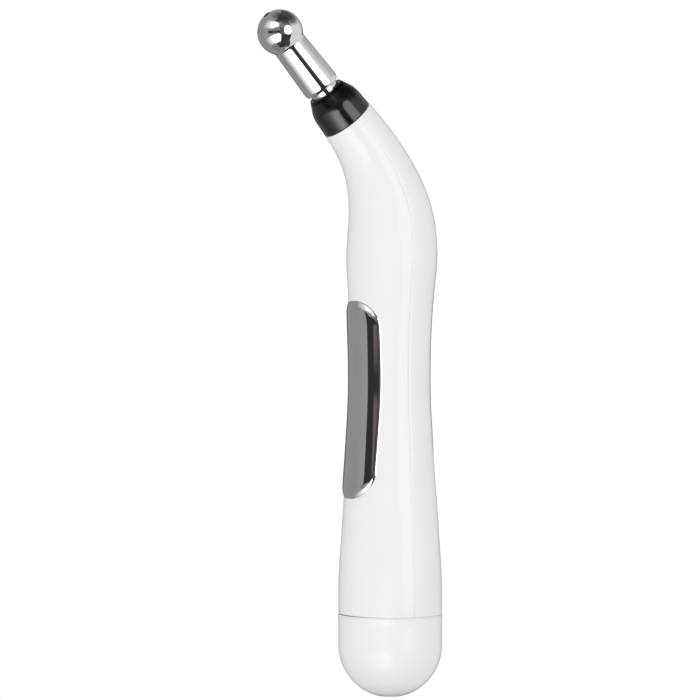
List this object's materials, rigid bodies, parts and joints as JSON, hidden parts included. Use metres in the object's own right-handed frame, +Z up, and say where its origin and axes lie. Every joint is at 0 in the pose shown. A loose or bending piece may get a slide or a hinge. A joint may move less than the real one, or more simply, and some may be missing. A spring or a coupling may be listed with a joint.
{
  "type": "electric acupuncture pen",
  "caption": "Hand-held pulse pen: curved two-shell grip with a metal contact plate, display and buttons, battery cap, and a plug-in ball head on a bent neck.",
  "frame": {"origin": "on the axis of the straight handle, at the middle of the grip, 86 mm above the lowest point of the battery cap", "axes": "+Z up the handle towards the bend, the neck bends over towards -X, the contact plate is on -X, the display and buttons on +X"},
  "size_m": [0.0571, 0.0302, 0.1982],
  "materials": {
    "white_plastic": "glossy white ABS",
    "black_plastic": "glossy black ABS",
    "grey_plastic": "plain moulded nylon",
    "chrome": "polished chrome plate",
    "steel": "plain steel",
    "brass": "plain brass",
    "board": "green solder mask on glass-fibre board",
    "ferrite": "sintered ferrite",
    "copper": "enamelled winding",
    "window": "clear smoked acrylic",
    "display": "liquid crystal display",
    "led": "clear red epoxy",
    "rubber": "black rubber",
    "cell": "printed metallic jacket",
    "red_wire": "PVC insulation",
    "black_wire": "PVC insulation"
  },
  "bodies": {
    "grip": {"front_shell": "white_plastic", "rear_shell": "white_plastic", "chassis": "grey_plastic", "positive_contact": "steel", "negative_strip": "steel", "shell_screw_lower": "steel", "shell_screw_upper": "steel", "circuit_board": "board", "board_screw_lower": "steel", "board_screw_upper": "steel", "transformer_core": "ferrite", "transformer_coil": "copper", "microcontroller": "black_plastic", "output_capacitor": "grey_plastic", "buzzer": "black_plastic", "lcd_panel": "display", "lcd_frame": "grey_plastic", "lcd_connector": "rubber", "display_window": "window", "control_panel": "black_plastic", "minus_switch": "black_plastic", "plus_switch": "black_plastic", "contact_plate": "chrome", "plate_nut_lower": "brass", "plate_nut_upper": "brass", "plate_terminal": "brass", "nose_collar": "black_plastic", "head_socket": "chrome", "led_holder": "grey_plastic", "tip_led": "led", "electrode_lead": "red_wire", "led_lead_red": "red_wire", "led_lead_black": "black_wire", "plate_lead": "black_wire", "battery_lead_positive": "red_wire", "battery_lead_negative": "black_wire"},
    "head": {"massage_head": "chrome", "head_o_ring": "rubber"},
    "cap": {"battery_cap": "white_plastic", "cap_contact": "steel", "cap_spring": "steel"},
    "cell": {"battery": "cell"},
    "plus_key": {"plus_button": "white_plastic", "plus_plunger": "grey_plastic"},
    "minus_key": {"minus_button": "white_plastic", "minus_plunger": "grey_plastic"}
  },
  "joints": [
    {"name": "head_pull", "type": "slide", "parent": "grip", "child": "head", "axis": [-0.6613, 0, 0.7501], "range_m": [0, 0.014]},
    {"name": "cap_pull", "type": "slide", "parent": "grip", "child": "cap", "axis": [0, 0, -1], "range_m": [0, 0.04]},
    {"name": "cell_slide", "type": "slide", "parent": "grip", "child": "cell", "axis": [0, 0, -1], "range_m": [0, 0.028]},
    {"name": "plus_press", "type": "slide", "parent": "grip", "child": "plus_key", "axis": [-1, 0, 0], "range_m": [0, 0.0005], "stiffness_N_per_m": 800, "springref_m": -0.001},
    {"name": "minus_press", "type": "slide", "parent": "grip", "child": "minus_key", "axis": [-1, 0, 0], "range_m": [0, 0.0005], "stiffness_N_per_m": 800, "springref_m": -0.001}
  ],
  "couplings": [
    {"joint": "cell_slide", "follows": "cap_pull", "ratio": 0.7}
  ]
}
